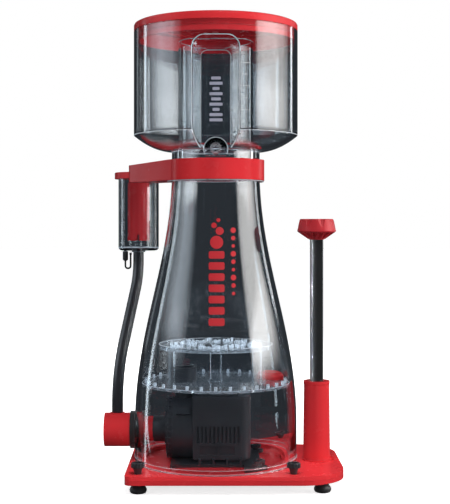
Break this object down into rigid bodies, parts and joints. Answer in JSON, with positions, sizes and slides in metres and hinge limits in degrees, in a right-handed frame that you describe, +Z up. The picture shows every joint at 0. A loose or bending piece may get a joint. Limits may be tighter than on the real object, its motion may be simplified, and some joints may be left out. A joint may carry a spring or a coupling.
{
  "type": "protein skimmer",
  "caption": "In-sump aquarium protein skimmer: conical clear body with a lift-off collection cup, red base, needle-wheel pump, air silencer and water-level control.",
  "frame": {"origin": "centre of the bounding box's footprint, on the floor under the feet", "axes": "+Z up; -Y towards the front, where the cup's recess and drain face; -X towards the water intake"},
  "size_m": [0.281, 0.2082, 0.5426],
  "materials": {
    "red_acrylic": "polished red acrylic",
    "red_plastic": "moulded red plastic, satin gloss",
    "clear_acrylic": "clear polished acrylic",
    "black_plastic": "moulded black plastic, fine texture",
    "rod_black": "glossy black rod",
    "rubber_black": "black rubber",
    "hose_black": "smooth black flexible hose",
    "magnet": "coated magnet",
    "ceramic_white": "polished ceramic",
    "steel": "stainless steel",
    "silicone_red": "soft red silicone",
    "clear_diffuser": "clear moulded plastic with machined edges"
  },
  "bodies": {
    "skimmer_body": {"base_plate": "red_acrylic", "flange_plate": "red_acrylic", "base_o_ring": "rubber_black", "rubber_feet": "rubber_black", "foot_screws": "steel", "base_thumbscrews": "black_plastic", "body_shell": "clear_acrylic", "inlet_grommet": "rubber_black", "intake_pipe": "red_acrylic", "air_hose": "hose_black", "silencer_jar": "clear_acrylic", "silencer_lid": "red_acrylic", "downtube": "red_acrylic", "collar_arm": "red_acrylic", "foot_plate": "black_plastic", "pump_thumbscrews": "black_plastic", "motor_housing": "black_plastic", "volute_housing": "black_plastic", "volute_cover": "black_plastic", "pump_outlet_pipe": "black_plastic", "shaft_bushings": "rubber_black", "power_cable": "hose_black", "cable_gland": "black_plastic", "diffuser_plate": "clear_diffuser", "diffuser_drum": "clear_diffuser", "diffuser_top": "clear_diffuser", "diffuser_post": "clear_diffuser", "outlet_cap": "red_plastic", "standpipe": "red_acrylic", "rod_bush": "red_plastic"},
    "neck_ring": {"cup_seal": "rubber_black"},
    "cup": {"cup_shell": "clear_acrylic", "cup_recess": "clear_acrylic", "riser_tube": "clear_acrylic", "drain_nozzle": "clear_acrylic"},
    "lid": {"cup_lid": "red_acrylic", "lid_seal": "silicone_red"},
    "level_control": {"level_rod": "rod_black", "level_knob": "red_plastic", "knob_screw": "steel", "gate_sleeve": "black_plastic"},
    "rotor": {"impeller": "red_plastic", "rotor_magnet": "magnet", "impeller_shaft": "ceramic_white"},
    "plug": {"ozone_plug": "rubber_black", "plug_tether": "rubber_black"}
  },
  "joints": [
    {"name": "cup_lift", "type": "slide", "parent": "skimmer_body", "child": "neck_ring", "axis": [0, 0, 1], "range_m": [0, 0.06]},
    {"name": "cup_turn", "type": "hinge", "parent": "neck_ring", "child": "cup", "pos_m": [-0.0075, -0.0061, 0.4026], "axis": [0, 0, 1], "continuous": true},
    {"name": "lid_lift", "type": "slide", "parent": "cup", "child": "lid", "axis": [0, 0, 1], "range_m": [0, 0.05]},
    {"name": "level_turn", "type": "hinge", "parent": "skimmer_body", "child": "level_control", "pos_m": [0.1135, -0.0061, 0.2026], "axis": [0, 0, 1], "range_deg": [-90, 90]},
    {"name": "rotor_spin", "type": "hinge", "parent": "skimmer_body", "child": "rotor", "pos_m": [-0.0075, -0.0061, 0.0576], "axis": [1, 0, 0], "continuous": true},
    {"name": "plug_pull", "type": "slide", "parent": "skimmer_body", "child": "plug", "axis": [0, 0, -1], "range_m": [0, 0.0085]}
  ]
}
